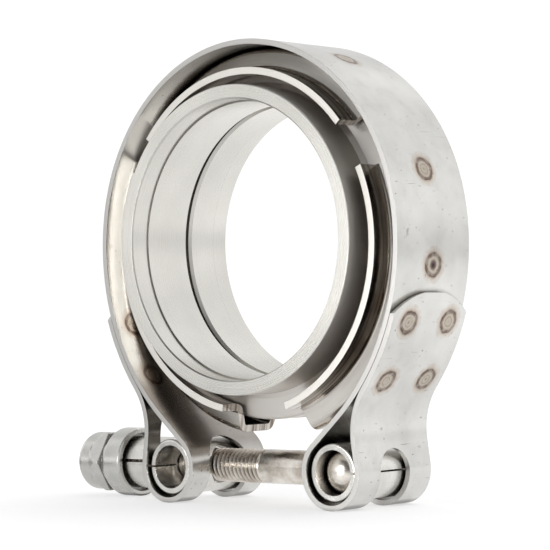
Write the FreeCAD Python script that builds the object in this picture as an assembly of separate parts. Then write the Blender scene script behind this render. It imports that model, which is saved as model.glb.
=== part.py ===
import FreeCAD, Part
import math
import os

# A v band clamp closed over a pair of flanges for 2.5 inch pipe, in millimetres.
# The pipe axis is Y with the front end at negative Y, Z is up, and the origin is
# the centre of the clamp's ring. The clamp stands on the bottoms of its two loops.

# Strap, bent from one strip
strap_thickness = 1.2
strap_width = 25.0
spread_start_angle = 80.0       # from the top, where the ring starts to open
spread_offset = 6.5             # below that angle the strap is this much flatter
tab_gap = 0.1                   # between the turned-back tab and the ring
tab_corner_angle = 108.0        # from the top
tab_end_rise = 4.6              # height of the tab's rounded end
tab_bend_radius = 16.0          # where the tab bends down to the loop
leg_waist = 1.0                 # how far the outer leg is drawn in above the loop
weld_diameter = 5.0
tab_weld_angles = (110.1, 125.5)
tab_weld_offset = 6.9           # from the middle of the strap's width

# Loops for the trunnions
loop_offset = 25.2              # from the pipe axis, sideways
leg_length = 9.6                # straight stretch from the ring to the loop
loop_inner_radius = 7.1
head_slot_width = 10.1
head_slot_rise = 5.0            # slot's round top above the loop's centre
nut_slot_width = 13.2
nut_slot_rise = 6.9
nut_window_clearance = 0.1      # round the nut's flange, in the outer leg's hole
nut_window_rise = 7.3           # that hole's centre above the loop's centre

# Retainers, three pressed top-hat sections welded inside the strap
retainer_thickness = 1.6
retainer_strap_gap = 0.05
crown_lip_gap = 1.75            # room between the crown and the lips
crown_half_width = 5.2
retainer_depth = 6.75           # crown face to brim face
retainer_half_width = 12.4
leg_slope = 20.0                # from the radial plane
brim_bend_radius = 1.9          # at the middle of the sheet
crown_bend_radius = 1.5
top_retainer_angle = 50.2       # either way from the top
right_retainer_start_angle = 65.7
right_retainer_end_angle = 161.5
right_retainer_drop = 1.1       # hangs this much below the ring's centre
left_retainer_start_angle = 62.8
left_retainer_end_angle = 169.5
left_retainer_drop = 0.4

# Flanges
pipe_outer_radius = 31.75
socket_clearance = 0.1
socket_depth = 5.0
socket_chamfer = 0.3
socket_wall = 3.3
pipe_stop_height = 0.25         # the shoulder that the pipe's end meets
flange_reach = 16.0
neck_chamfer = 0.15
edge_chamfer = 0.4
lip_height = 5.85
lip_root_rise = 1.0             # cone between the lip and the round neck
lip_leg_gap = 0.42              # square to the sloping faces
face_gap = 0.1                  # between the two flanges
spigot_wall = 1.7
spigot_length = 1.5
spigot_clearance = 0.1
register_depth = 3.0
register_chamfer = 0.6

# Trunnion sleeves, rolled from sheet
trunnion_outer_radius = 6.5
trunnion_wall = 1.45
trunnion_length = 23.0
trunnion_end_rounding = 0.5
seam_width = 0.4

# T-bolt
bolt_radius = 3.95
head_clearance = 0.25
head_length = 21.0
head_dome = 2.6
bolt_end_chamfer = 0.8
bolt_hole_clearance = 0.35

# Spacer sleeve and lock nut
spacer_outer_radius = 6.25
spacer_bore_clearance = 0.3
spacer_end_gap = 0.3
spacer_length = 15.65
spacer_seam_width = 0.7
spacer_seam_rise = 0.7          # its seam faces forward and a little up
nut_thread_clearance = 0.06
recess_depth = 1.6
recess_clearance = 0.85
nut_seat_gap = 0.02
nut_height = 16.3
nut_flange_radius = 8.3
nut_flange_height = 5.8
nut_flange_rounding = 0.6
nut_neck_radius = 6.8           # groove between the flange and the hexagon
nut_neck_length = 2.0
nut_across_flats = 14.0
nut_corner_length = 1.3         # full corners, before they are tapered off
nut_hex_height = 4.2
collar_radius = 7.05
collar_rounding = 1.6
collar_lip_radius = 4.7
insert_outer_radius = 5.3
insert_height = 2.2
insert_fit = 0.02
collar_lip_thickness = 0.9

# Worked-out sizes
pipe_bore_radius = pipe_outer_radius - pipe_stop_height
socket_radius = pipe_outer_radius + socket_clearance
flange_outer_radius = socket_radius + socket_wall
lip_root_radius = flange_outer_radius + lip_root_rise
lip_radius = flange_outer_radius + lip_height
crown_outer_radius = lip_radius + crown_lip_gap + retainer_thickness
strap_mid_radius = crown_outer_radius + retainer_strap_gap + strap_thickness / 2
lower_mid_radius = strap_mid_radius + spread_offset
lower_centre_x = -spread_offset * math.sin(math.radians(spread_start_angle))
lower_centre_z = -spread_offset * math.cos(math.radians(spread_start_angle))
loop_mid_radius = loop_inner_radius + strap_thickness / 2
loop_drop = -lower_centre_z + math.sqrt(leg_length ** 2
                                        + (lower_mid_radius + loop_mid_radius) ** 2
                                        - (loop_offset - lower_centre_x) ** 2)
tab_mid_radius = lower_mid_radius + strap_thickness + tab_gap
brim_mid_radius = crown_outer_radius - retainer_depth + retainer_thickness / 2
crown_mid_radius = crown_outer_radius - retainer_thickness / 2
trunnion_inner_radius = trunnion_outer_radius - trunnion_wall
bolt_hole_radius = bolt_radius + bolt_hole_clearance
spacer_start = -loop_offset - trunnion_outer_radius - spacer_end_gap
spacer_end = spacer_start - spacer_length
nut_floor = spacer_end - nut_seat_gap
nut_face = nut_floor + recess_depth
nut_end = nut_face - nut_height
bolt_end = nut_end + collar_lip_thickness / 2
far = 200.0                     # longer than the whole clamp, for cutting tools
along_x = FreeCAD.Vector(1, 0, 0)
along_y = FreeCAD.Vector(0, 1, 0)


def polar(centre, radius, angle):
    """Point at an angle from the top, turning to the right, in a flat plane."""
    turn = math.radians(angle)
    return (centre[0] + radius * math.sin(turn), centre[1] + radius * math.cos(turn))


def across(point):
    """Place a flat point in the plane square to the pipe axis."""
    return FreeCAD.Vector(point[0], 0, point[1])


def beside(point):
    """Place a flat point, given as place along the pipe axis and radius."""
    return FreeCAD.Vector(0, point[0], point[1])


def arc_edge(centre, radius, start, end, place):
    points = [place(polar(centre, radius, a)) for a in (start, (start + end) / 2, end)]
    return Part.Arc(*points).toShape()


def strip_face(arcs, thickness, place, tips=None):
    """Section of a bent strip whose middle line is tangent arcs joined by straight lines.

    Each arc is a centre, a radius and its start and end angles from the top. Tips are
    the middle line's two end points, where it runs straight on past its arcs.
    """
    edges = []
    ends = []
    for side in (1, -1):
        points = []
        for centre, radius, start, end in arcs:
            shifted = radius + side * math.copysign(thickness / 2, end - start)
            edges.append(arc_edge(centre, shifted, start, end, place))
            points += [place(polar(centre, shifted, start)), place(polar(centre, shifted, end))]
        if tips:
            first = place(polar(arcs[0][0], arcs[0][1], arcs[0][2]))
            last = place(polar(arcs[-1][0], arcs[-1][1], arcs[-1][3]))
            points = ([points[0] + place(tips[0]) - first, points[0]] + points[1:]
                      + [points[-1] + place(tips[1]) - last])
            edges += [Part.makeLine(points[0], points[1]), Part.makeLine(points[-2], points[-1])]
            joints = points[2:-2]
        else:
            joints = points[1:-1]
        for before, after in zip(joints[0::2], joints[1::2]):
            if before.distanceToPoint(after) > 1e-6:
                edges.append(Part.makeLine(before, after))
        ends.append((points[0], points[-1]))
    edges += [Part.makeLine(ends[0][k], ends[1][k]) for k in (0, 1)]
    return Part.Face(Part.Wire(Part.__sortEdges__(edges)))


def turned(face, start, sweep):
    """Turn a section about the pipe axis, from an angle from the top."""
    origin = FreeCAD.Vector(0, 0, 0)
    face = face.copy()
    face.rotate(origin, along_y, start)
    return face.revolve(origin, along_y, sweep)


def ring(outline):
    """Full ring from a closed outline of (place along the pipe axis, radius) points."""
    wire = Part.makePolygon([beside(p) for p in outline + outline[:1]])
    return turned(Part.Face(wire), 0.0, 360.0)


def rod(radius, start, length, direction, middle=(0, 0, 0)):
    """Cylinder along X or Y, starting at a place on that axis."""
    base = FreeCAD.Vector(*middle)
    base += direction * start
    return Part.makeCylinder(radius, length, base, direction)


def half_strap_arcs():
    """Right half of the strap's middle line, from the tab's end to the top of the ring."""
    lower_centre = (lower_centre_x, lower_centre_z)
    loop_centre = (loop_offset, -loop_drop)
    bend_x = loop_offset + loop_mid_radius - leg_waist + tab_bend_radius
    reach = tab_mid_radius + tab_bend_radius
    bend_angle = 180.0 - math.degrees(math.asin((bend_x - lower_centre_x) / reach))
    bend_centre = polar(lower_centre, reach, bend_angle)
    # Below its waist the outer leg leans out to the loop, touching the bend and the loop.
    apart = (bend_centre[0] - loop_centre[0], bend_centre[1] - loop_centre[1])
    both_radii = tab_bend_radius + loop_mid_radius
    straight = math.sqrt(apart[0] ** 2 + apart[1] ** 2 - both_radii ** 2)
    lean = math.degrees(math.atan2(apart[1], apart[0]) - math.atan2(straight, both_radii))
    # The inner leg crosses from the ring's side over to the loop's far side.
    towards_loop = math.atan2(loop_offset - lower_centre_x, -loop_drop - lower_centre_z)
    turn = math.atan2(leg_length, lower_mid_radius + loop_mid_radius)
    leg_angle = math.degrees(towards_loop - turn)
    tab_top = tab_corner_angle - math.degrees(tab_end_rise / tab_mid_radius)
    return [
        (lower_centre, tab_mid_radius, tab_top, bend_angle),
        (bend_centre, tab_bend_radius, bend_angle + 180.0, 270.0 - lean),
        (loop_centre, loop_mid_radius, 90.0 - lean, leg_angle + 180.0),
        (lower_centre, lower_mid_radius, leg_angle, spread_start_angle),
        ((0.0, 0.0), strap_mid_radius, spread_start_angle, 0.0),
    ]


def mirrored_arcs(arcs):
    return [((-c[0], c[1]), radius, -end, -start) for c, radius, start, end in reversed(arcs)]


def ring_core():
    """Everything inside the gap between the ring and its right tab."""
    return rod(lower_mid_radius + (strap_thickness + tab_gap) / 2, -far / 2, far, along_y,
               (lower_centre_x, 0, lower_centre_z))


def tab_trimmer():
    """Solid that trims the right tab's end to its arc, seen from the side."""
    corner_height = polar((lower_centre_x, lower_centre_z), tab_mid_radius, tab_corner_angle)[1]
    half = strap_width / 2
    above = corner_height + 2 * tab_end_rise
    edge = FreeCAD.Vector(0, half, corner_height)
    peak = FreeCAD.Vector(0, 0, corner_height + tab_end_rise)
    other = FreeCAD.Vector(0, -half, corner_height)
    sides = Part.makePolygon([other, FreeCAD.Vector(0, -half, above),
                              FreeCAD.Vector(0, half, above), edge])
    outline = [Part.Arc(edge, peak, other).toShape()] + sides.Edges
    face = Part.Face(Part.Wire(Part.__sortEdges__(outline)))
    # Only the tab lies further out than the ring's own outer face.
    return face.extrude(FreeCAD.Vector(far, 0, 0)).cut(ring_core())


def slot(width, rise, x_from, x_to):
    """Window through the legs with a round top, open round the bottom of the loop."""
    centre_height = -loop_drop + rise - width / 2
    round_top = rod(width / 2, x_from, x_to - x_from, along_x, (0, 0, centre_height))
    below = Part.makeBox(x_to - x_from, width, far,
                         FreeCAD.Vector(x_from, -width / 2, centre_height - far))
    return round_top.fuse(below)


def nut_window():
    """Round hole in the left outer leg, large enough to pass the nut's flange."""
    x_to = -loop_offset - loop_inner_radius / 2
    hole = rod(nut_flange_radius + nut_window_clearance, -far, far + x_to, along_x,
               (0, 0, -loop_drop + nut_window_rise))
    return hole.cut(mirrored(ring_core()))


def tab_weld(angle, y):
    """Spot weld that ties the right tab to the ring behind it."""
    start = polar((lower_centre_x, lower_centre_z), lower_mid_radius, angle)
    out = polar((0.0, 0.0), 1.0, angle)
    return Part.makeCylinder(weld_diameter / 2, tab_mid_radius - lower_mid_radius,
                             FreeCAD.Vector(start[0], y, start[1]),
                             FreeCAD.Vector(out[0], 0, out[1]))


def mirrored(shape):
    return shape.mirror(FreeCAD.Vector(0, 0, 0), along_x)


def band_strap():
    right = half_strap_arcs()
    left = mirrored_arcs(right)
    face = strip_face(right + left, strap_thickness, across)
    strap = face.extrude(FreeCAD.Vector(0, strap_width, 0))
    strap.translate(FreeCAD.Vector(0, -strap_width / 2, 0))
    trimmer = tab_trimmer()
    head_slot = slot(head_slot_width, head_slot_rise, 0.0, far)
    nut_slot = slot(nut_slot_width, nut_slot_rise, -far, 0.0)
    strap = strap.cut([trimmer, mirrored(trimmer), head_slot, nut_slot, nut_window()])
    welds = []
    for angle in tab_weld_angles:
        for y in (-tab_weld_offset, tab_weld_offset):
            weld = tab_weld(angle, y)
            welds += [weld, mirrored(weld)]
    return strap.fuse(welds).removeSplitter()


def leg_middle(radius):
    """How far the leg's middle line is from the middle of the clamp, at a radius."""
    slope = math.radians(leg_slope)
    outer_face = crown_half_width + (crown_outer_radius - radius) * math.tan(slope)
    return outer_face - retainer_thickness / 2 / math.cos(slope)


def retainer_face():
    """Top-hat section: brims beside the lips, sloping legs and a flat crown."""
    turn = 90.0 - leg_slope
    lean = math.cos(math.radians(leg_slope))
    crown_r = crown_mid_radius - crown_bend_radius
    crown = (leg_middle(crown_r) - crown_bend_radius / lean, crown_r)
    brim_r = brim_mid_radius + brim_bend_radius
    brim = (leg_middle(brim_r) + brim_bend_radius / lean, brim_r)
    arcs = [
        (brim, brim_bend_radius, 180.0, 180.0 + turn),
        (crown, crown_bend_radius, turn, 0.0),
    ]
    arcs += mirrored_arcs(arcs)
    tips = [(retainer_half_width, brim_mid_radius), (-retainer_half_width, brim_mid_radius)]
    return strip_face(arcs, retainer_thickness, beside, tips)


def retainer(start, end, drop=0.0):
    """One retainer between two angles from the top, hanging lower by its drop."""
    shape = turned(retainer_face(), start, end - start)
    shape.translate(FreeCAD.Vector(0, 0, -drop))
    return shape


def lip_half_thickness(radius):
    """Half the thickness of the closed pair of lips, clear of the retainer's legs."""
    inner_face = leg_middle(radius) - retainer_thickness / 2 / math.cos(math.radians(leg_slope))
    return inner_face - lip_leg_gap / math.cos(math.radians(leg_slope))


def flange_back(side):
    """Outline of one flange from its bore round the pipe's end and the lip to the joint face."""
    rim = lip_half_thickness(lip_radius)
    root = lip_half_thickness(lip_root_radius)
    c = edge_chamfer
    points = [
        (flange_reach - socket_depth, pipe_bore_radius),
        (flange_reach - socket_depth, socket_radius),
        (flange_reach - socket_chamfer, socket_radius),
        (flange_reach, socket_radius + socket_chamfer),
        (flange_reach, flange_outer_radius - neck_chamfer),
        (flange_reach - neck_chamfer, flange_outer_radius),
        (root + lip_root_rise, flange_outer_radius), (root, lip_root_radius),
        (rim, lip_radius - c), (rim - c, lip_radius),
        (face_gap / 2 + c, lip_radius), (face_gap / 2, lip_radius - c),
    ]
    return [(side * y, radius) for y, radius in points]


def male_flange():
    spigot = pipe_bore_radius + spigot_wall
    return ring(flange_back(-1) + [
        (-face_gap / 2, spigot), (spigot_length - edge_chamfer, spigot),
        (spigot_length, spigot - edge_chamfer), (spigot_length, pipe_bore_radius),
    ])


def female_flange():
    register = pipe_bore_radius + spigot_wall + spigot_clearance
    return ring(flange_back(1) + [
        (face_gap / 2, register), (register_depth, register),
        (register_depth, pipe_bore_radius + register_chamfer),
        (register_depth + register_chamfer, pipe_bore_radius),
    ])


def edges_at(shape, direction, place):
    """Edges whose middle lies at a place along a direction."""
    return [edge for edge in shape.Edges
            if abs(edge.CenterOfMass.dot(direction) - place) < 1e-6]


def trunnion_sleeve(side):
    """Rolled tube with its seam facing outward. The nut's one is bored right through."""
    middle = (side * loop_offset, 0, -loop_drop)
    start = -trunnion_length / 2
    tube = rod(trunnion_outer_radius, start, trunnion_length, along_y, middle)
    tube = tube.makeFillet(trunnion_end_rounding,
                           edges_at(tube, along_y, start) + edges_at(tube, along_y, -start))
    bore = rod(trunnion_inner_radius, start, trunnion_length, along_y, middle)
    seam_from = min(0.0, side * 2 * trunnion_outer_radius)
    seam = Part.makeBox(2 * trunnion_outer_radius, trunnion_length, seam_width,
                        FreeCAD.Vector(middle[0] + seam_from, start, middle[2] - seam_width / 2))
    hole_start = -2 * trunnion_outer_radius
    hole_end = 0.0 if side > 0 else 2 * trunnion_outer_radius
    hole = rod(bolt_hole_radius, hole_start, hole_end - hole_start, along_x, middle)
    return tube.cut([bore, seam, hole])


def tee_bolt():
    head_radius = trunnion_inner_radius - head_clearance
    straight = head_length - 2 * head_dome
    middle = (loop_offset, 0, -loop_drop)
    head = rod(head_radius, -straight / 2, straight, along_y, middle)
    sphere_radius = (head_radius ** 2 + head_dome ** 2) / (2 * head_dome)
    for side in (1, -1):
        ball = Part.makeSphere(sphere_radius, FreeCAD.Vector(
            middle[0], side * (head_length / 2 - sphere_radius), middle[2]))
        cap = rod(head_radius, straight / 2, 2 * head_dome, along_y * side, middle)
        head = head.fuse(ball.common(cap))
    shank = rod(bolt_radius, bolt_end, loop_offset - bolt_end, along_x, (0, 0, -loop_drop))
    shank = shank.makeChamfer(bolt_end_chamfer, edges_at(shank, along_x, bolt_end))
    return head.fuse(shank).removeSplitter()


def spacer_sleeve():
    bore_radius = bolt_radius + spacer_bore_clearance
    middle = (0, 0, -loop_drop)
    tube = rod(spacer_outer_radius, spacer_end, spacer_length, along_x, middle)
    bore = rod(bore_radius, spacer_end, spacer_length, along_x, middle)
    seam_height = spacer_seam_rise - loop_drop
    seam = Part.makeBox(spacer_length, 2 * spacer_outer_radius, spacer_seam_width,
                        FreeCAD.Vector(spacer_end, -2 * spacer_outer_radius,
                                       seam_height - spacer_seam_width / 2))
    return tube.cut([bore, seam])


def bolt_turned(outline):
    """Turn an outline of (place along the bolt, radius) points about the bolt's axis."""
    axis_point = FreeCAD.Vector(0, 0, -loop_drop)
    points = [FreeCAD.Vector(x, 0, r - loop_drop) for x, r in outline + outline[:1]]
    return Part.Face(Part.makePolygon(points)).revolve(axis_point, along_x, 360)


def flange_lock_nut():
    """Round flange with a recess, a groove, a short hexagon and a rounded collar."""
    thread = bolt_radius + nut_thread_clearance
    flange_end = nut_face - nut_flange_height
    hex_start = flange_end - nut_neck_length
    hex_end = hex_start - nut_hex_height
    insert_top = nut_end + collar_lip_thickness + insert_height
    corner = nut_across_flats / math.sqrt(3)
    recess = spacer_outer_radius + recess_clearance
    body = bolt_turned([
        (nut_face, recess), (nut_face, nut_flange_radius - edge_chamfer),
        (nut_face - edge_chamfer, nut_flange_radius), (flange_end, nut_flange_radius),
        (flange_end, nut_neck_radius), (hex_start, nut_neck_radius), (hex_start, corner),
        (hex_start - nut_corner_length, corner), (hex_end, collar_radius),
        (nut_end, collar_radius), (nut_end, collar_lip_radius),
        (nut_end + collar_lip_thickness, collar_lip_radius),
        (nut_end + collar_lip_thickness, insert_outer_radius),
        (insert_top, insert_outer_radius), (insert_top, thread),
        (nut_floor, thread), (nut_floor, recess),
    ])
    for place, rounding in ((nut_end, collar_rounding), (flange_end, nut_flange_rounding)):
        rim = max(edges_at(body, along_x, place), key=lambda edge: edge.Length)
        body = body.makeFillet(rounding, [rim])
    points = [polar((0, -loop_drop), corner, 60 * k + 30) for k in range(7)]
    prism = Part.Face(Part.makePolygon([FreeCAD.Vector(hex_end, y, z) for y, z in points]))
    prism = prism.extrude(FreeCAD.Vector(nut_hex_height, 0, 0))
    middle = (0, 0, -loop_drop)
    flange = rod(nut_flange_radius, hex_start, nut_face - hex_start, along_x, middle)
    collar = rod(collar_radius, nut_end, hex_end - nut_end, along_x, middle)
    return body.common(prism.fuse([flange, collar])).removeSplitter()


def locking_insert():
    thread = bolt_radius + nut_thread_clearance
    outer = insert_outer_radius - insert_fit
    end = nut_end + collar_lip_thickness + insert_fit
    length = insert_height - 2 * insert_fit
    middle = (0, 0, -loop_drop)
    return rod(outer, end, length, along_x, middle).cut(rod(thread, end, length, along_x, middle))


pieces = {
    "band_strap": band_strap(),
    "retainer_top": retainer(-top_retainer_angle, top_retainer_angle),
    "retainer_right": retainer(right_retainer_start_angle, right_retainer_end_angle,
                               right_retainer_drop),
    "retainer_left": retainer(-left_retainer_end_angle, -left_retainer_start_angle,
                              left_retainer_drop),
    "male_flange": male_flange(),
    "female_flange": female_flange(),
    "head_trunnion_sleeve": trunnion_sleeve(1),
    "nut_trunnion_sleeve": trunnion_sleeve(-1),
    "tee_bolt": tee_bolt(),
    "spacer_sleeve": spacer_sleeve(),
    "flange_lock_nut": flange_lock_nut(),
    "locking_insert": locking_insert(),
}

os.makedirs("parts", exist_ok=True)
for name, shape in pieces.items():
    shape.exportStep("parts/" + name + ".step")
    box = shape.BoundBox
    print("%-22s solids %d valid %s volume %8.1f  x %.2f %.2f  y %.2f %.2f  z %.2f %.2f" % (
        name, len(shape.Solids), shape.isValid(), shape.Volume,
        box.XMin, box.XMax, box.YMin, box.YMax, box.ZMin, box.ZMax))
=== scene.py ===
import math

import bmesh
import bpy
from mathutils import Matrix, Vector


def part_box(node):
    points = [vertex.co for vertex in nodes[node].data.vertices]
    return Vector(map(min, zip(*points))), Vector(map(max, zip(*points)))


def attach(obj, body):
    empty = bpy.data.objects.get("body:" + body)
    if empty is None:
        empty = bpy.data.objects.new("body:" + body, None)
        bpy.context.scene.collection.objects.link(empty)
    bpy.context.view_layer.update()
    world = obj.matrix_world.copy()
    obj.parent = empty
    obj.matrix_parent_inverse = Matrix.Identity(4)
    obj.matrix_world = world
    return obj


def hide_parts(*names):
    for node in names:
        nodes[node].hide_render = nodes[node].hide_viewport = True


# A v band clamp closed over its two pipe flanges. Metres, the pipe's axis is Y with the
# front at negative Y, Z is up and the origin is the centre of the clamp's ring.

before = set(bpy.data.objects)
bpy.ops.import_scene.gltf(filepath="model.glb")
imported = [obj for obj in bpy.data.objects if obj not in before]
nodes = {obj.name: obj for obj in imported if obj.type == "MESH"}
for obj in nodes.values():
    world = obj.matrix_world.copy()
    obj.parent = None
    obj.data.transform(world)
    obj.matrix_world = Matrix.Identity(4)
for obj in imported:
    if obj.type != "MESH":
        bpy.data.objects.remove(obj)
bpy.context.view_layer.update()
mm = 0.001
white = (1.0, 1.0, 1.0, 1.0)

# Sizes that the looks need, read from the frame where it has them
strap_low, strap_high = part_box("band_strap")
sleeve_low, sleeve_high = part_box("head_trunnion_sleeve")
bolt_low, bolt_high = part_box("tee_bolt")
strap_outer_radius = strap_high.z
strap_thickness = 1.2 * mm
floor_height = strap_low.z
trunnion_x = (sleeve_low.x + sleeve_high.x) / 2
bolt_height = (sleeve_low.z + sleeve_high.z) / 2

# Past 80 degrees from the top, the strap follows a flatter arc whose centre is moved over
spread_start_angle = math.radians(80)
spread_offset = 6.5 * mm
tab_gap = 0.1 * mm

# What tumbling takes off each sharp edge
edge_rounding = 0.14 * mm


def linear(hex_colour):
    """Linear colour of an sRGB hex value."""
    channels = [int(hex_colour[i:i + 2], 16) / 255 for i in (1, 3, 5)]
    values = [c / 12.92 if c <= 0.04045 else ((c + 0.055) / 1.055) ** 2.4 for c in channels]
    return (*values, 1.0)


def add(tree, kind, settings=None, links=None):
    """Add a node with its settings, and links from other nodes' outputs to its inputs.

    Inputs go by name or number. Those of a Mix node go by number: 0 is its factor, 2 and 3
    its two numbers, 6 and 7 its two colours. Stops are (place, hex colour), for a ramp.
    """
    node = tree.nodes.new(kind)
    for name, value in (settings or {}).items():
        if name == "stops":
            points = node.color_ramp.elements
            while len(points) < len(value):
                points.new(0.5)
            for point, (place, colour) in zip(points, value):
                point.position = place
                point.color = linear(colour)
        elif isinstance(name, int) or name in node.inputs:
            node.inputs[name].default_value = value
        else:
            setattr(node, name, value)
    for name, source in (links or {}).items():
        tree.links.new(source, node.inputs[name])
    return node


def new_material(name):
    """Empty material and its node tree."""
    made = bpy.data.materials.new(name)
    made.use_nodes = True
    made.node_tree.nodes.clear()
    return made, made.node_tree


def around(radius, angle, centre=(0.0, 0.0)):
    """Point in the plane square to the pipe's axis, at an angle from the top."""
    return (centre[0] + radius * math.sin(angle), centre[1] + radius * math.cos(angle))


# Arcs that carry spot welds, each as its centre's X and Z, and its radius
ring_arc = (0.0, 0.0, strap_outer_radius)
lower_centre = around(-spread_offset, spread_start_angle)
band_arc = (*lower_centre, strap_outer_radius + spread_offset)
tab_arc = (*lower_centre, band_arc[2] + tab_gap + strap_thickness)
inner_arc = (*lower_centre, band_arc[2] - strap_thickness)

# Places of the spot welds, as degrees from the top and metres along Y
tab_weld_angles = (110.1, 125.5)
tab_weld_offset = 6.9 * mm
ring_weld_angles = (28.5, 72.2)
low_weld_angle = 96.6
tab_places = [(angle, y) for angle in tab_weld_angles for y in (-tab_weld_offset, tab_weld_offset)]


def on_both_sides(places, arc):
    """Spot welds to the right and left on one arc, as (side, angle, y, centre, radius)."""
    return [(side, math.radians(angle), y, *arc) for angle, y in places for side in (1, -1)]


outer_welds = (on_both_sides(tab_places, tab_arc)
               + on_both_sides([(angle, 0.0) for angle in ring_weld_angles], ring_arc)
               + on_both_sides([(low_weld_angle, 0.0)], band_arc))
inner_welds = on_both_sides(tab_places, inner_arc)

# The weld nearest the right tab, whose middle the photograph shows burnt darker
burnt_weld = (1, math.radians(low_weld_angle), 0.0, *band_arc)


def beside_weld(weld, along, across, rise):
    """Point near a spot weld, measured over the strip's curved face and square to it."""
    side, angle, y, centre_x, centre_z, radius = weld
    x, z = around(radius + rise, angle + along / radius, (centre_x, centre_z))
    return Vector((side * x, y + across, z))


def sheared_faces(tree):
    """1 on the faces that a shear left square to the pipe's axis."""
    normal = add(tree, "ShaderNodeTexCoord").outputs["Normal"]
    across = add(tree, "ShaderNodeSeparateXYZ", links={0: normal}).outputs["Y"]
    size = add(tree, "ShaderNodeMath", {"operation": "ABSOLUTE"}, {0: across}).outputs[0]
    return add(tree, "ShaderNodeMapRange", {"From Min": 0.85, "From Max": 0.97},
               {"Value": size}).outputs[0]


def under_films_and_painted_shade(tree, colour, darkening_layers):
    """Colour of bare metal under each film, mark or painted shade in turn."""
    for darkening_layer in darkening_layers:
        colour = add(tree, "ShaderNodeMix",
                     {"data_type": "RGBA", "blend_type": "MULTIPLY", 0: 1.0},
                     {6: colour, 7: darkening_layer}).outputs[2]
    return colour


def painted_corner_shade(tree, colour, reach, shade_colour):
    """Painted shade: colour darkened to a brown-grey in corners and gaps narrower than the reach.
    """
    room = add(tree, "ShaderNodeAmbientOcclusion", {"samples": 8, "Distance": reach}).outputs["AO"]
    # Painted shade: the colour goes towards the given dark colour where other surfaces stand
    # close.
    darkening_layer = add(tree, "ShaderNodeValToRGB", {"stops": [(0.15, shade_colour), (0.85, "#ffffff")]}, {0: room})
    return under_films_and_painted_shade(tree, colour, [darkening_layer.outputs[0]])


def roughened(tree, even, shares):
    """Roughness made of an even part and a share of each pattern, as (pattern, share)."""
    (first, share), *others = shares
    rough = add(tree, "ShaderNodeMath", {"operation": "MULTIPLY_ADD", 1: share, 2: even},
                {0: first}).outputs[0]
    for pattern, share in others:
        rough = add(tree, "ShaderNodeMath", {"operation": "MULTIPLY_ADD", 1: share},
                    {0: pattern, 2: rough}).outputs[0]
    return rough


def bare_metal(tree, colour, rough, lines, strength, depth, rounding=edge_rounding):
    """Surface of bare metal with raised lines and broken edges."""
    broken = add(tree, "ShaderNodeBevel", {"samples": 6, "Radius": rounding}).outputs[0]
    raised = add(tree, "ShaderNodeBump", {"Strength": strength, "Distance": depth},
                 {"Height": lines, "Normal": broken}).outputs[0]
    shader = add(tree, "ShaderNodeBsdfPrincipled", {"Metallic": 1.0},
                 {"Base Color": colour, "Roughness": rough, "Normal": raised}).outputs[0]
    add(tree, "ShaderNodeOutputMaterial", links={"Surface": shader})


def lines_along(tree, place, stretch, detail=3.0):
    """Noise drawn out into lines. Stretch holds how many of them go to a metre each way."""
    scaled = add(tree, "ShaderNodeVectorMath", {"operation": "MULTIPLY", 1: stretch}, {0: place})
    return add(tree, "ShaderNodeTexNoise", {"Scale": 1.0, "Detail": detail},
               {"Vector": scaled.outputs[0]}).outputs["Fac"]


def heat_marks(tree, place):
    """Distance to the nearest spot weld as a share of the tinted disc's radius."""
    tint_radius = 4.2 * mm
    rag_size = 1.8 * mm          # the rings are ragged, by the depth in and out
    rag_depth = 0.4 * mm
    ragged = add(tree, "ShaderNodeTexNoise", {"Scale": 1 / rag_size, "Detail": 2.0},
                 {"Vector": place}).outputs["Fac"]
    nearest = None
    for weld in outer_welds + inner_welds:
        away = add(tree, "ShaderNodeVectorMath",
                   {"operation": "DISTANCE", 1: beside_weld(weld, 0, 0, 0)},
                   {0: place}).outputs["Value"]
        if nearest is None:
            nearest = away
        else:
            nearest = add(tree, "ShaderNodeMath", {"operation": "MINIMUM"},
                          {0: nearest, 1: away}).outputs[0]
    uneven = add(tree, "ShaderNodeMath",
                 {"operation": "MULTIPLY_ADD", 1: 2 * rag_depth, 2: -rag_depth},
                 {0: ragged}).outputs[0]
    moved = add(tree, "ShaderNodeMath", {"operation": "ADD"}, {0: nearest, 1: uneven}).outputs[0]
    return add(tree, "ShaderNodeMath", {"operation": "DIVIDE", 1: tint_radius},
               {0: moved}).outputs[0]


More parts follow.
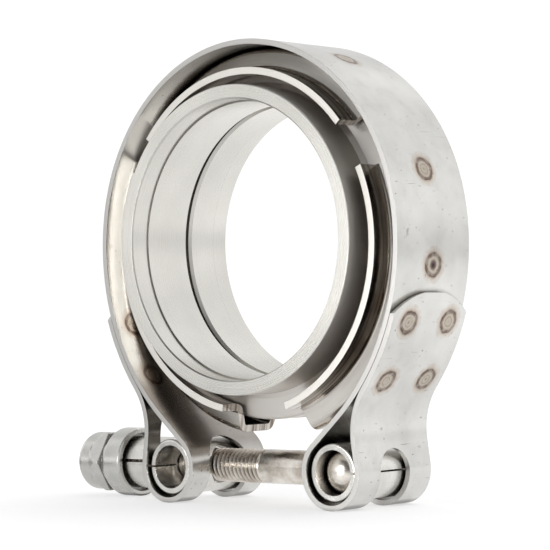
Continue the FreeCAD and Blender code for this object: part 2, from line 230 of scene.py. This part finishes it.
def weld_tint(tree, place, heat):
    """Brown double ring and straw halo that the heat of a spot weld leaves, and its burn."""
    break_size = 1.6 * mm
    burn_radius = 2 * mm
    rings = add(tree, "ShaderNodeValToRGB",
                {"stops": [(0.0, "#a08e80"), (0.07, "#d6cbbf"), (0.20, "#ded6ca"),
                           (0.26, "#b7a797"), (0.32, "#dfd6cb"), (0.43, "#d6cabd"),
                           (0.48, "#8d7b72"), (0.52, "#a89a92"), (0.58, "#735f56"),
                           (0.64, "#8f7f76"), (0.69, "#d9cbc0"), (0.80, "#f6efe9"),
                           (1.0, "#ffffff")]}, {0: heat}).outputs[0]
    broken = add(tree, "ShaderNodeTexNoise", {"Scale": 1 / break_size, "Detail": 2.0},
                 {"Vector": place}).outputs["Fac"]
    kept = add(tree, "ShaderNodeMapRange", {"From Min": 0.35, "From Max": 0.55, "To Min": 0.55},
               {"Value": broken}).outputs[0]
    rings = add(tree, "ShaderNodeMix", {"data_type": "RGBA", 6: linear("#e6ded6")},
                {0: kept, 7: rings}).outputs[2]
    near = add(tree, "ShaderNodeMath", {"operation": "LESS_THAN", 1: 1.0}, {0: heat}).outputs[0]
    tint = add(tree, "ShaderNodeMix", {"data_type": "RGBA", 6: white},
               {0: near, 7: rings}).outputs[2]
    away = add(tree, "ShaderNodeVectorMath",
               {"operation": "DISTANCE", 1: beside_weld(burnt_weld, 0, 0, 0)},
               {0: place}).outputs["Value"]
    share = add(tree, "ShaderNodeMath", {"operation": "DIVIDE", 1: burn_radius},
                {0: away}).outputs[0]
    burn = add(tree, "ShaderNodeValToRGB",
               {"stops": [(0.15, "#6d5f66"), (0.42, "#a5969a"), (0.6, "#ffffff")]},
               {0: share}).outputs[0]
    return under_films_and_painted_shade(tree, tint, [burn])


def handling_marks(tree, place):
    """Faint grey smudges, dark specks and hairline scratches from handling, as films."""
    smudge_size = 5 * mm
    speck_size = 0.7 * mm
    smudge = add(tree, "ShaderNodeTexNoise", {"Scale": 1 / smudge_size, "Detail": 6.0},
                 {"Vector": place}).outputs["Fac"]
    speck = add(tree, "ShaderNodeTexNoise", {"Scale": 1 / speck_size, "Detail": 1.0},
                {"Vector": place}).outputs["Fac"]
    marks = [(smudge, [(0.30, "#f6f5f4"), (0.45, "#fcfcfb"), (0.60, "#ffffff")]),
             (speck, [(0.20, "#8e8780"), (0.27, "#ffffff")])]
    for run, width in ((9 * mm, 0.12 * mm), (4 * mm, 0.16 * mm)):
        hair = lines_along(tree, place, (1 / width, 1 / run, 1 / run), 1.0)
        marks.append((hair, [(0.20, "#d8d5d0"), (0.26, "#ffffff")]))
    return [add(tree, "ShaderNodeValToRGB", {"stops": stops}, {0: pattern}).outputs[0]
            for pattern, stops in marks]


def painted_leg_shade(tree, place):
    """Painted shade: brown-grey darkening on the inward faces of the legs above the bolt."""
    shade_top = -27 * mm
    top_fade = 7 * mm
    shade_foot = bolt_height
    foot_fade = 6 * mm
    fully_inward = -6 * mm       # X times the normal's X, negative on faces turned inward
    normal = add(tree, "ShaderNodeTexCoord").outputs["Normal"]
    facing = add(tree, "ShaderNodeVectorMath", {"operation": "MULTIPLY"}, {0: place, 1: normal})
    inward = add(tree, "ShaderNodeSeparateXYZ", links={0: facing.outputs[0]}).outputs["X"]
    height = add(tree, "ShaderNodeSeparateXYZ", links={0: place}).outputs["Z"]
    share = None
    for value, start, end in ((inward, 0.0, fully_inward),
                              (height, shade_top, shade_top - top_fade),
                              (height, shade_foot, shade_foot + foot_fade)):
        within = add(tree, "ShaderNodeMapRange", {"From Min": start, "From Max": end},
                     {"Value": value}).outputs[0]
        if share is None:
            share = within
        else:
            share = add(tree, "ShaderNodeMath", {"operation": "MULTIPLY"},
                        {0: share, 1: within}).outputs[0]
    # Painted shade: the inward leg faces are multiplied towards brown-grey.
    return add(tree, "ShaderNodeMix", {"data_type": "RGBA", 6: white, 7: linear("#bcb6b2")},
               {0: share}).outputs[2]


def rolled_strip():
    """Cold rolled 304 stainless strip with a mill satin finish.

    Pale, nearly neutral grey with a broad soft gloss and a fine grain along the strip.
    The spot welds leave brown rings with a straw halo.
    """
    made, tree = new_material("cold_rolled_304_strip")
    grain = 0.22 * mm            # real rolling grain is finer; this is as fine as shows
    grain_run = 9.0 * mm
    cloud_size = 14 * mm
    place = add(tree, "ShaderNodeTexCoord").outputs["Object"]
    lines = lines_along(tree, place, (1 / grain_run, 1 / grain, 1 / grain_run))
    cloud = add(tree, "ShaderNodeTexNoise", {"Scale": 1 / cloud_size, "Detail": 4.0},
                {"Vector": place}).outputs["Fac"]
    grey = add(tree, "ShaderNodeValToRGB", {"stops": [(0.3, "#cac9c6"), (0.7, "#d9d8d5")]},
               {0: cloud}).outputs[0]
    heat = heat_marks(tree, place)
    darkening_layers = [*handling_marks(tree, place), weld_tint(tree, place, heat)]
    edge = sheared_faces(tree)
    coloured = add(tree, "ShaderNodeMix", {"data_type": "RGBA", 7: linear("#bfbdba")},
                   {0: edge, 6: under_films_and_painted_shade(tree, grey, darkening_layers)}).outputs[2]
    # Painted shade on the inward faces of the legs above the bolt
    coloured = under_films_and_painted_shade(tree, coloured, [painted_leg_shade(tree, place)])
    # Painted shade: brown-grey darkening in corners and gaps within 1.6 mm of other surfaces
    coloured = painted_corner_shade(tree, coloured, reach=1.6 * mm, shade_colour="#6a6058")
    dull = add(tree, "ShaderNodeValToRGB", {"stops": [(0.40, "#8a8a8a"), (0.62, "#000000")]},
               {0: heat}).outputs[0]
    rough = roughened(tree, even=0.21, shares=[(cloud, 0.08), (dull, 0.10), (edge, 0.12)])
    bare_metal(tree, coloured, rough, lines, strength=0.05, depth=0.02 * mm)
    return made


def pressed_retainer():
    """304 stainless pressed to a top-hat section, bright from the die.

    Glossier than the strip, with draw lines along it and a faint brown cast.
    Its sheared edges are pale and dull.
    """
    made, tree = new_material("pressed_304_retainer")
    draw_line = 0.35 * mm
    draw_run = 16 * mm
    streak = 0.8 * mm
    streak_run = 20 * mm
    cloud_size = 9 * mm
    place = add(tree, "ShaderNodeTexCoord").outputs["Object"]
    lines = lines_along(tree, place, (1 / draw_run, 1 / draw_line, 1 / draw_run))
    streaks = lines_along(tree, place, (1 / streak_run, 1 / streak, 1 / streak_run), 2.0)
    cloud = add(tree, "ShaderNodeTexNoise", {"Scale": 1 / cloud_size, "Detail": 3.0},
                {"Vector": place}).outputs["Fac"]
    body = add(tree, "ShaderNodeValToRGB", {"stops": [(0.35, "#bdb7b0"), (0.65, "#cfcac4")]},
               {0: cloud}).outputs[0]
    streaked = add(tree, "ShaderNodeValToRGB", {"stops": [(0.36, "#a1968c"), (0.56, "#ffffff")]},
                   {0: streaks}).outputs[0]
    body = under_films_and_painted_shade(tree, body, [streaked])
    # Painted shade: brown-grey darkening in corners and gaps within 1.2 mm of other surfaces
    body = painted_corner_shade(tree, body, reach=1.2 * mm, shade_colour="#877c73")
    edge = sheared_faces(tree)
    coloured = add(tree, "ShaderNodeMix", {"data_type": "RGBA", 7: linear("#d9d6d0")},
                   {0: edge, 6: body}).outputs[2]
    rough = roughened(tree, even=0.07, shares=[(lines, 0.12), (edge, 0.28)])
    bare_metal(tree, coloured, rough, lines, strength=0.12, depth=0.03 * mm)
    return made


def turned_flange():
    """304 stainless flange, turned on a lathe.

    Pale warm grey with fine rings on its faces and fine hoops in its bore. Its outer wall
    is left from the rough cut: duller, and a little browner.
    """
    made, tree = new_material("turned_304_flange")
    tool_mark = 0.25 * mm        # the real feed marks are finer; this is as fine as shows
    cloud_size = 18 * mm
    face_rim = 35.05 * mm
    rim_blend = 0.1 * mm
    place = add(tree, "ShaderNodeTexCoord").outputs["Object"]
    apart = add(tree, "ShaderNodeSeparateXYZ", links={0: place})
    flat = add(tree, "ShaderNodeCombineXYZ", links={0: apart.outputs["X"], 1: apart.outputs["Z"]})
    radius = add(tree, "ShaderNodeVectorMath", {"operation": "LENGTH"},
                 {0: flat.outputs[0]}).outputs["Value"]
    across = add(tree, "ShaderNodeMath", {"operation": "ADD"},
                 {0: radius, 1: apart.outputs["Y"]}).outputs[0]
    rings = add(tree, "ShaderNodeTexNoise",
                {"noise_dimensions": "1D", "Scale": 1 / tool_mark, "Detail": 3.0},
                {"W": across}).outputs["Fac"]
    cloud = add(tree, "ShaderNodeTexNoise", {"Scale": 1 / cloud_size, "Detail": 3.0},
                {"Vector": place}).outputs["Fac"]
    outer = add(tree, "ShaderNodeMapRange",
                {"From Min": face_rim, "From Max": face_rim + rim_blend},
                {"Value": radius}).outputs[0]
    turned = add(tree, "ShaderNodeValToRGB", {"stops": [(0.3, "#cbc9c3"), (0.7, "#d8d6d0")]},
                 {0: cloud}).outputs[0]
    # Painted shade: brown-grey darkening in corners and gaps within 2 mm of other surfaces
    turned = painted_corner_shade(tree, turned, reach=2 * mm, shade_colour="#746b64")
    coloured = add(tree, "ShaderNodeMix", {"data_type": "RGBA", 7: linear("#d8d4cf")},
                   {0: outer, 6: turned}).outputs[2]
    rough = roughened(tree, even=0.22, shares=[(rings, 0.12), (outer, 0.17)])
    bare_metal(tree, coloured, rough, rings, strength=0.10, depth=0.02 * mm)
    return made


def worn_steel(name, line, line_run, dark, pale, roughness, spread, strength,
               rounding=edge_rounding):
    """Metal with fine lines along X, soft patches and painted corner shade, for the pieces on the
    bolt's line.

    Spread is what the patches add to the roughness, and strength is that of the lines.
    """
    made, tree = new_material(name)
    patch_size = 3.5 * mm
    place = add(tree, "ShaderNodeTexCoord").outputs["Object"]
    lines = lines_along(tree, place, (1 / line_run, 1 / line, 1 / line))
    cloud = add(tree, "ShaderNodeTexNoise", {"Scale": 1 / patch_size, "Detail": 5.0},
                {"Vector": place}).outputs["Fac"]
    coloured = add(tree, "ShaderNodeValToRGB", {"stops": [(0.32, dark), (0.66, pale)]},
                   {0: cloud}).outputs[0]
    # Painted shade: brown darkening in corners and gaps within 1.3 mm of other surfaces, such as
    # the thread's roots
    coloured = painted_corner_shade(tree, coloured, reach=1.3 * mm, shade_colour="#43362c")
    rough = roughened(tree, even=roughness, shares=[(cloud, spread)])
    bare_metal(tree, coloured, rough, lines, strength, 0.03 * mm, rounding)
    return made


def rolled_sleeve():
    """304 stainless sheet rolled to a tube: neutral grey, satin, with forming lines."""
    return worn_steel("rolled_304_sleeve", line=0.3 * mm, line_run=6 * mm, dark="#d3d1cc",
                      pale="#e3e1dc", roughness=0.18, spread=0.16, strength=0.08)


def forged_bolt():
    """Stainless bolt, cold forged and thread rolled, left dull.

    Darker than the rest, with a warm nickel cast and small mottled patches.
    """
    return worn_steel("cold_forged_bolt", line=0.4 * mm, line_run=1.2 * mm, dark="#bdb4a9",
                      pale="#f0ebe3", roughness=0.17, spread=0.20, strength=0.5)


def forged_nut():
    """Stainless nut, cold formed and tumbled: even satin grey with rounded gloss."""
    return worn_steel("tumbled_304_nut", line=0.5 * mm, line_run=0.8 * mm, dark="#c2c1bd",
                      pale="#cfcecb", roughness=0.20, spread=0.14, strength=0.10,
                      rounding=0.35 * mm)


def moulded_nylon():
    """Nylon 6 ring, injection moulded: off-white, slightly see-through and waxy."""
    made, tree = new_material("moulded_nylon_6")
    flow_mark = 1.5 * mm
    place = add(tree, "ShaderNodeTexCoord").outputs["Object"]
    cloud = add(tree, "ShaderNodeTexNoise", {"Scale": 1 / flow_mark, "Detail": 2.0},
                {"Vector": place}).outputs["Fac"]
    coloured = add(tree, "ShaderNodeValToRGB", {"stops": [(0.3, "#dedbd0"), (0.7, "#ebe8de")]},
                   {0: cloud}).outputs[0]
    shader = add(tree, "ShaderNodeBsdfPrincipled",
                 {"Roughness": 0.42, "IOR": 1.53, "Subsurface Weight": 0.2,
                  "Subsurface Scale": 0.5 * mm}, {"Base Color": coloured}).outputs[0]
    add(tree, "ShaderNodeOutputMaterial", links={"Surface": shader})
    return made


strip_material = rolled_strip()
retainer_material = pressed_retainer()
flange_material = turned_flange()
sleeve_material = rolled_sleeve()
bolt_material = forged_bolt()
nut_material = forged_nut()
nylon_material = moulded_nylon()
finishes = {
    "band_strap": strip_material,
    "retainer_top": retainer_material,
    "retainer_right": retainer_material,
    "retainer_left": retainer_material,
    "male_flange": flange_material,
    "female_flange": flange_material,
    "head_trunnion_sleeve": sleeve_material,
    "nut_trunnion_sleeve": sleeve_material,
    "tee_bolt": bolt_material,
    "spacer_sleeve": sleeve_material,
    "flange_lock_nut": nut_material,
    "locking_insert": nylon_material,
}


def finish_node(name):
    """Give a CAD node its own material."""
    node = nodes[name]
    if not node.material_slots:
        node.data.materials.append(finishes[name])
    for slot in node.material_slots:
        slot.material = finishes[name]


def object_from(name, mesh_maker):
    """New object whose mesh is made by a function that fills a bmesh."""
    shape = bmesh.new()
    mesh_maker(shape)
    bmesh.ops.recalc_face_normals(shape, faces=shape.faces)
    mesh = bpy.data.meshes.new(name)
    shape.to_mesh(mesh)
    shape.free()
    mesh.shade_smooth()
    made = bpy.data.objects.new(name, mesh)
    bpy.context.scene.collection.objects.link(made)
    return made


def carried(made, finish, body):
    """Finish a new piece and let it ride on a body."""
    made.data.materials.append(finish)
    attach(made, body)


# Rolled thread, M8 with a 1.25 mm pitch, right hand
bolt_radius = 3.95 * mm
thread_pitch = 1.25 * mm
thread_depth = 0.72 * mm
thread_start = -4.0 * mm
thread_fade = 1.4 * mm
end_chamfer = 0.8 * mm
steps_a_turn = 48
rows_a_pitch = 12
crest_share = 0.14
root_share = 0.22
same_place = 0.001 * mm


def groove_depth(phase):
    """Depth below the crest, as a share, at a place within one pitch."""
    slope = (1 - crest_share - root_share) / 2
    if phase < crest_share:
        return 0.0
    if phase < crest_share + slope:
        return (phase - crest_share) / slope
    if phase < crest_share + slope + root_share:
        return 1.0
    return (1.0 - phase) / slope


def shank_radius(x, phase):
    """Radius of the threaded end at a place along the bolt, negative X being its tip."""
    fade = min(1.0, max(0.0, (thread_start - x) / thread_fade))
    radius = bolt_radius - thread_depth * fade * groove_depth(phase)
    return min(radius, bolt_radius - end_chamfer + max(0.0, x - bolt_low.x))


def threaded_shank(shape):
    """Closed shank from the middle of the head to the tip, its thread a true helix."""
    rows = math.ceil((thread_start - bolt_low.x) / thread_pitch) * rows_a_pitch + rows_a_pitch
    rings = [[] for _ in range(rows + 1)]
    for column in range(steps_a_turn + 1):
        turn = 2 * math.pi * column / steps_a_turn
        for row in range(rows + 1):
            along = thread_start - thread_pitch * (row / rows_a_pitch - column / steps_a_turn)
            x = min(thread_start, max(bolt_low.x, along))
            radius = shank_radius(x, (row % rows_a_pitch) / rows_a_pitch)
            rings[row].append(shape.verts.new(
                (x, radius * math.cos(turn), bolt_height + radius * math.sin(turn))))
    for row in range(rows):
        for column in range(steps_a_turn):
            shape.faces.new((rings[row][column], rings[row][column + 1],
                             rings[row + 1][column + 1], rings[row + 1][column]))
    head_end = [shape.verts.new((trunnion_x, bolt_radius * math.cos(turn),
                                 bolt_height + bolt_radius * math.sin(turn)))
                for turn in (2 * math.pi * c / steps_a_turn for c in range(steps_a_turn))]
    for column in range(steps_a_turn):
        shape.faces.new((rings[0][column], rings[0][column + 1],
                         head_end[(column + 1) % steps_a_turn], head_end[column]))
    shape.faces.new(head_end)
    bmesh.ops.remove_doubles(shape, verts=shape.verts, dist=same_place)
    rim = [edge for edge in shape.edges if len(edge.link_faces) == 1]
    bmesh.ops.holes_fill(shape, edges=rim)


# The bolt's head, a short bar with domed ends that lies along the pipe's axis
head_radius = 4.8 * mm
head_half_length = bolt_high.y
head_dome = 2.6 * mm
head_columns = 96
dome_rows = 16
sharp_turn = math.radians(38)


def domed_head(shape):
    """Closed head, turned about the line through the middle of its sleeve."""
    sphere_radius = (head_radius ** 2 + head_dome ** 2) / (2 * head_dome)
    rim_turn = math.asin(head_radius / sphere_radius)
    outline = []
    for end in (1, -1):
        turns = [rim_turn * row / dome_rows for row in range(dome_rows + 1)]
        for turn in turns[::end]:
            y = end * (head_half_length - sphere_radius * (1 - math.cos(turn)))
            outline.append((trunnion_x + sphere_radius * math.sin(turn), y, bolt_height))
    verts = [shape.verts.new(place) for place in outline]
    edges = [shape.edges.new(pair) for pair in zip(verts, verts[1:])]
    bmesh.ops.spin(shape, geom=verts + edges, axis=(0, 1, 0), cent=(trunnion_x, 0, bolt_height),
                   angle=2 * math.pi, steps=head_columns)
    bmesh.ops.remove_doubles(shape, verts=shape.verts, dist=same_place)


def bolt_piece():
    """T-bolt, its threaded shank joined to its head as one closed skin."""
    bolt = object_from("threaded_tee_bolt", threaded_shank)
    head = object_from("bolt_head", domed_head)
    union = bolt.modifiers.new("head", "BOOLEAN")
    union.operation = "UNION"
    union.solver = "EXACT"
    union.object = head
    whole = bolt.evaluated_get(bpy.context.evaluated_depsgraph_get())
    bolt.data = bpy.data.meshes.new_from_object(whole)
    bolt.modifiers.clear()
    bpy.data.objects.remove(head)
    bolt.data.shade_smooth()
    bolt.data.set_sharp_from_angle(angle=sharp_turn)
    carried(bolt, bolt_material, "clamp")
    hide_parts("tee_bolt")


# Outline that the electrode pressed into each spot weld, in millimetres: the distance from
# its middle, and the rise above the strip
weld_outline = ((0.0, 0.0), (0.7, 0.015), (1.05, 0.045), (1.35, 0.01), (1.9, 0.015),
                (2.25, 0.06), (2.55, 0.03), (2.8, -0.04))
weld_root = -0.2
weld_columns = 32


def weld_dents(shape):
    """One shallow closed disc for each spot weld, its underside inside the strip."""
    turns = [2 * math.pi * column / weld_columns for column in range(weld_columns)]
    skirt = (weld_outline[-1][0], weld_root)
    for weld in outer_welds:
        rings = []
        for away, rise in (*weld_outline[1:], skirt):
            rings.append([shape.verts.new(beside_weld(weld, away * mm * math.cos(turn),
                                                      away * mm * math.sin(turn), rise * mm))
                          for turn in turns])
        top = shape.verts.new(beside_weld(weld, 0, 0, weld_outline[0][1] * mm))
        for column in range(weld_columns):
            following = (column + 1) % weld_columns
            shape.faces.new((top, rings[0][column], rings[0][following]))
            for inner, outer in zip(rings, rings[1:]):
                shape.faces.new((inner[column], outer[column], outer[following], inner[following]))
        shape.faces.new(rings[-1])


for name in nodes:
    finish_node(name)
bolt_piece()
carried(object_from("spot_welds", weld_dents), strip_material, "clamp")

# Camera at the photograph's place
camera_azimuth = math.radians(42.40)
camera_elevation = math.radians(-1.25)
camera_roll = math.radians(-1.23)
camera_place = Vector((347.56, -381.93, -19.16)) * mm
focal_pixels = 2238.3
picture_pixels = 550
sensor_width = 36.0


def place_camera():
    """Camera turned by azimuth, elevation and roll, with the photograph's lens."""
    back = Vector((math.sin(camera_azimuth) * math.cos(camera_elevation),
                   -math.cos(camera_azimuth) * math.cos(camera_elevation),
                   math.sin(camera_elevation)))
    level_right = (-back).cross(Vector((0, 0, 1))).normalized()
    level_up = level_right.cross(-back)
    right = level_right * math.cos(camera_roll) + level_up * math.sin(camera_roll)
    up = -level_right * math.sin(camera_roll) + level_up * math.cos(camera_roll)
    camera = bpy.data.objects.new("camera", bpy.data.cameras.new("camera"))
    bpy.context.scene.collection.objects.link(camera)
    turned = Matrix((right, up, back)).transposed().to_4x4()
    camera.matrix_world = Matrix.Translation(camera_place) @ turned
    camera.data.sensor_width = sensor_width
    camera.data.lens = focal_pixels / picture_pixels * sensor_width
    camera.data.clip_start = 0.01
    bpy.context.scene.camera = camera


def aimed(azimuth, elevation):
    """Direction at an azimuth to the left of the front and an elevation, in degrees."""
    turn = math.radians(azimuth)
    rise = math.radians(elevation)
    return Vector((-math.sin(turn) * math.cos(rise), -math.cos(turn) * math.cos(rise),
                   math.sin(rise)))


def softbox(name, place, width, height, power):
    """Rectangular studio light that faces the centre of the ring."""
    light = bpy.data.lights.new(name, "AREA")
    light.shape = "RECTANGLE"
    light.size = width
    light.size_y = height
    light.energy = power
    made = bpy.data.objects.new(name, light)
    bpy.context.scene.collection.objects.link(made)
    made.location = place
    made.rotation_mode = "QUATERNION"
    made.rotation_quaternion = (-place).to_track_quat("-Z", "Y")


def hang_lights():
    """Large soft boxes above, left, front and right, and a low card before the bolt."""
    far = 1.1                    # metres from the centre of the ring
    near = 0.33
    softbox("overhead", Vector((0.05, 0.32, 0.9)), width=0.9, height=0.6, power=2.2)
    softbox("left", aimed(39, 2) * far, width=0.56, height=0.18, power=0.24)
    softbox("front", aimed(13, 9) * far, width=0.34, height=0.4, power=1.9)
    softbox("low_card", aimed(12, -3) * near, width=0.11, height=0.075, power=0.29)
    softbox("right", Vector((0.9, 0.35, 0.3)), width=0.8, height=0.7, power=0.8)


def glow_towards(tree, direction, centre, edge, full, outside, inside):
    """Brightness that goes smoothly from outside to inside towards a centre direction.

    Edge and full say where it starts and ends, measured along the centre direction: as
    cosines for the room, and as metres for the floor.
    """
    along = add(tree, "ShaderNodeVectorMath", {"operation": "DOT_PRODUCT", 1: centre},
                {0: direction}).outputs["Value"]
    return add(tree, "ShaderNodeMapRange",
               {"From Min": edge, "From Max": full, "To Min": outside, "To Max": inside,
                "interpolation_type": "SMOOTHSTEP"}, {"Value": along}).outputs[0]


def room_glow(tree, direction):
    """Brightness of the room, as the metal mirrors it.

    White behind to the right but a little less at the horizon, bright walls at the left and
    behind it, and dark in front.
    """
    height = add(tree, "ShaderNodeSeparateXYZ", links={0: direction}).outputs["Z"]
    horizon = add(tree, "ShaderNodeMapRange",
                  {"From Min": 0.02, "From Max": 0.16, "To Min": 0.88, "To Max": 1.05,
                   "interpolation_type": "SMOOTHSTEP"}, {"Value": height}).outputs[0]
    back_right = glow_towards(tree, direction, aimed(-130, 0),
                              edge=-0.25, full=0.35, outside=0.11, inside=1.0)
    left_wall = glow_towards(tree, direction, aimed(60, 22),
                             edge=0.79, full=0.96, outside=0.0, inside=0.85)
    back_left = glow_towards(tree, direction, aimed(124, 16),
                             edge=0.50, full=0.85, outside=0.0, inside=0.85)
    left = add(tree, "ShaderNodeMath", {"operation": "ADD"},
               {0: left_wall, 1: back_left}).outputs[0]
    right = add(tree, "ShaderNodeMath", {"operation": "MULTIPLY"},
                {0: back_right, 1: horizon}).outputs[0]
    return add(tree, "ShaderNodeMath", {"operation": "MAXIMUM"}, {0: left, 1: right}).outputs[0]


def floor_glow(tree, place, distance):
    """Brightness of the floor: white to the camera, and uneven where the metal mirrors it.

    It is bright under the clamp and behind it to the right, dimmer round it, and even far off.
    """
    to_camera = 1.12
    far_off = 0.72
    under = add(tree, "ShaderNodeMapRange",
                {"From Min": 0.06, "From Max": 0.16, "To Min": 0.9, "To Max": 0.3,
                 "interpolation_type": "SMOOTHSTEP"}, {"Value": distance}).outputs[0]
    behind = glow_towards(tree, place, aimed(-135, 0),
                          edge=-0.10, full=-0.01, outside=0.0, inside=1.2)
    near = add(tree, "ShaderNodeMath", {"operation": "MAXIMUM"}, {0: under, 1: behind}).outputs[0]
    far = add(tree, "ShaderNodeMapRange",
              {"From Min": 0.35, "From Max": 1.2, "interpolation_type": "SMOOTHSTEP"},
              {"Value": distance}).outputs[0]
    mirrored = add(tree, "ShaderNodeMix", {"data_type": "FLOAT", 3: far_off},
                   {0: far, 2: near}).outputs[0]
    seen = add(tree, "ShaderNodeLightPath").outputs["Is Camera Ray"]
    return add(tree, "ShaderNodeMix", {"data_type": "FLOAT", 3: to_camera},
               {0: seen, 2: mirrored}).outputs[0]


def matt_paper():
    """White backdrop paper, matt, that fades into the bright surroundings."""
    paper, tree = new_material("matt_white_paper")
    fibre_size = 2 * mm
    place = add(tree, "ShaderNodeTexCoord").outputs["Object"]
    fibre = add(tree, "ShaderNodeTexNoise", {"Scale": 1 / fibre_size},
                {"Vector": place}).outputs["Fac"]
    pale = add(tree, "ShaderNodeValToRGB", {"stops": [(0.3, "#f6f6f6"), (0.7, "#fafafa")]},
               {0: fibre}).outputs[0]
    matt = add(tree, "ShaderNodeBsdfDiffuse", links={"Color": pale}).outputs[0]
    distance = add(tree, "ShaderNodeVectorMath", {"operation": "LENGTH"},
                   {0: place}).outputs["Value"]
    glowing = add(tree, "ShaderNodeEmission", {"Color": white},
                  {"Strength": floor_glow(tree, place, distance)}).outputs[0]
    fade = add(tree, "ShaderNodeMapRange",
               {"From Min": 0.03, "From Max": 0.20, "To Min": 0.55,
                "interpolation_type": "SMOOTHSTEP"}, {"Value": distance}).outputs[0]
    shader = add(tree, "ShaderNodeMixShader", links={0: fade, 1: matt, 2: glowing}).outputs[0]
    add(tree, "ShaderNodeOutputMaterial", links={"Surface": shader})
    return paper


def lay_floor():
    """Plain paper floor under the loops of the strap."""
    floor_size = 6.0
    bpy.ops.mesh.primitive_plane_add(size=floor_size, location=(0, 0, floor_height))
    floor = bpy.context.object
    floor.name = "floor"
    floor.data.materials.append(matt_paper())


def surround():
    """White backdrop to the camera, and the room's glow in the metal."""
    world = bpy.data.worlds.new("studio")
    bpy.context.scene.world = world
    world.use_nodes = True
    tree = world.node_tree
    tree.nodes.clear()
    direction = add(tree, "ShaderNodeTexCoord").outputs["Generated"]
    room = add(tree, "ShaderNodeBackground", {"Color": white},
               {"Strength": room_glow(tree, direction)}).outputs[0]
    backdrop = add(tree, "ShaderNodeBackground", {"Color": white, "Strength": 1.05}).outputs[0]
    seen = add(tree, "ShaderNodeLightPath").outputs["Is Camera Ray"]
    mixed = add(tree, "ShaderNodeMixShader", links={0: seen, 1: room, 2: backdrop}).outputs[0]
    add(tree, "ShaderNodeOutputWorld", links={"Surface": mixed})


place_camera()
lay_floor()
hang_lights()
surround()
bpy.context.scene.view_settings.view_transform = "Standard"
